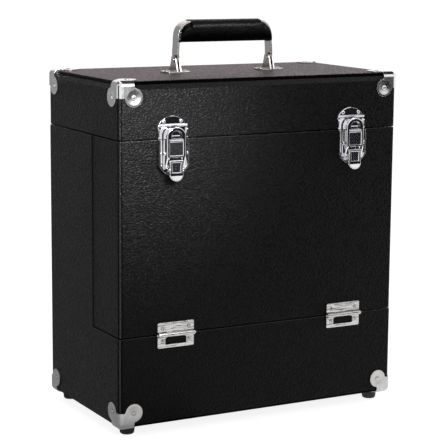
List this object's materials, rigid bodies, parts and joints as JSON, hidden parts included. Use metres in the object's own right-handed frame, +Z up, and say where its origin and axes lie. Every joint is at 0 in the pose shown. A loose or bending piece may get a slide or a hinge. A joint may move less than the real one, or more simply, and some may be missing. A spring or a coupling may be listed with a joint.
{
  "type": "record carrying case",
  "caption": "Boarded carrying case with a hinged lid, a fold-down front, draw latches, metal corners, rubber feet and a folding padded handle.",
  "frame": {"origin": "on the floor, under the middle of the whole case", "axes": "+Z up, the front looks along -Y, +X to the right of someone who faces the front"},
  "size_m": [0.3554, 0.2098, 0.4464],
  "materials": {
    "covered_board": "board covered in black pebbled leatherette",
    "lining": "thin black lining",
    "foot_rubber": "moulded, matt",
    "grip_padding": "padded, covered in black leatherette",
    "bright_corner": "polished nickel",
    "satin_corner": "satin nickel",
    "hinge_nickel": "satin nickel",
    "latch_chrome": "polished"
  },
  "bodies": {
    "body": {"back_board": "covered_board", "body_corner_rivets": "hinge_nickel", "body_hinge_screws": "hinge_nickel", "body_lining": "lining", "bottom_back_left_corner": "satin_corner", "bottom_back_right_corner": "satin_corner", "bottom_board": "covered_board", "bottom_front_left_corner": "satin_corner", "bottom_front_right_corner": "satin_corner", "feet": "foot_rubber", "foot_screws": "hinge_nickel", "front_hinge_left_lower_leaf": "hinge_nickel", "front_hinge_pins": "hinge_nickel", "front_hinge_right_lower_leaf": "hinge_nickel", "left_side_board": "covered_board", "lid_hinge_left_lower_leaf": "hinge_nickel", "lid_hinge_pins": "hinge_nickel", "lid_hinge_right_lower_leaf": "hinge_nickel", "low_front_board": "covered_board", "right_side_board": "covered_board"},
    "front": {"front_hinge_left_upper_leaf": "hinge_nickel", "front_hinge_right_upper_leaf": "hinge_nickel", "front_hinge_screws": "hinge_nickel", "front_left_cheek": "covered_board", "front_lining": "lining", "front_panel": "covered_board", "front_right_cheek": "covered_board", "latch_base_rivets": "latch_chrome", "latch_lever_pins": "latch_chrome", "left_latch_base": "latch_chrome", "right_latch_base": "latch_chrome"},
    "lever_left": {"left_latch_lever": "latch_chrome"},
    "lever_right": {"right_latch_lever": "latch_chrome"},
    "loop_left": {"left_latch_loop": "latch_chrome"},
    "loop_right": {"right_latch_loop": "latch_chrome"},
    "lid": {"handle_bracket_rivets": "latch_chrome", "handle_left_bracket": "latch_chrome", "handle_pins": "latch_chrome", "handle_right_bracket": "latch_chrome", "keeper_rivets": "latch_chrome", "left_keeper": "latch_chrome", "lid_back_board": "covered_board", "lid_corner_rivets": "hinge_nickel", "lid_front_board": "covered_board", "lid_hinge_left_upper_leaf": "hinge_nickel", "lid_hinge_right_upper_leaf": "hinge_nickel", "lid_hinge_screws": "hinge_nickel", "lid_left_board": "covered_board", "lid_lining": "lining", "lid_right_board": "covered_board", "lid_top_board": "covered_board", "right_keeper": "latch_chrome", "top_back_left_corner": "bright_corner", "top_back_right_corner": "bright_corner", "top_front_left_corner": "bright_corner", "top_front_right_corner": "bright_corner"},
    "handle": {"handle_bail": "latch_chrome", "handle_grip": "grip_padding"}
  },
  "joints": [
    {"name": "lid_hinge", "type": "hinge", "parent": "body", "child": "lid", "pos_m": [0, 0.10285, 0.3247], "axis": [-1, 0, 0], "range_deg": [0, 180]},
    {"name": "front_hinge", "type": "hinge", "parent": "body", "child": "front", "pos_m": [0, -0.09355, 0.1107], "axis": [1, 0, 0], "range_deg": [0, 105]},
    {"name": "lever_left_pivot", "type": "hinge", "parent": "front", "child": "lever_left", "pos_m": [-0.113, -0.09825, 0.3095], "axis": [-1, 0, 0], "range_deg": [0, 95]},
    {"name": "loop_left_pivot", "type": "hinge", "parent": "lever_left", "child": "loop_left", "pos_m": [-0.113, -0.09565, 0.2962], "axis": [-1, 0, 0], "range_deg": [-104.6, 0]},
    {"name": "lever_right_pivot", "type": "hinge", "parent": "front", "child": "lever_right", "pos_m": [0.113, -0.09825, 0.3095], "axis": [-1, 0, 0], "range_deg": [0, 95]},
    {"name": "loop_right_pivot", "type": "hinge", "parent": "lever_right", "child": "loop_right", "pos_m": [0.113, -0.09565, 0.2962], "axis": [-1, 0, 0], "range_deg": [-104.6, 0]},
    {"name": "handle_pivot", "type": "hinge", "parent": "lid", "child": "handle", "pos_m": [0, 0.00465, 0.4012], "axis": [1, 0, 0], "range_deg": [-88, 88]}
  ],
  "couplings": [
    {"joint": "front_hinge", "follows": "lid_hinge", "ratio": 0.5833},
    {"joint": "loop_left_pivot", "follows": "lever_left_pivot", "ratio": -1.1},
    {"joint": "loop_right_pivot", "follows": "lever_right_pivot", "ratio": -1.1}
  ]
}
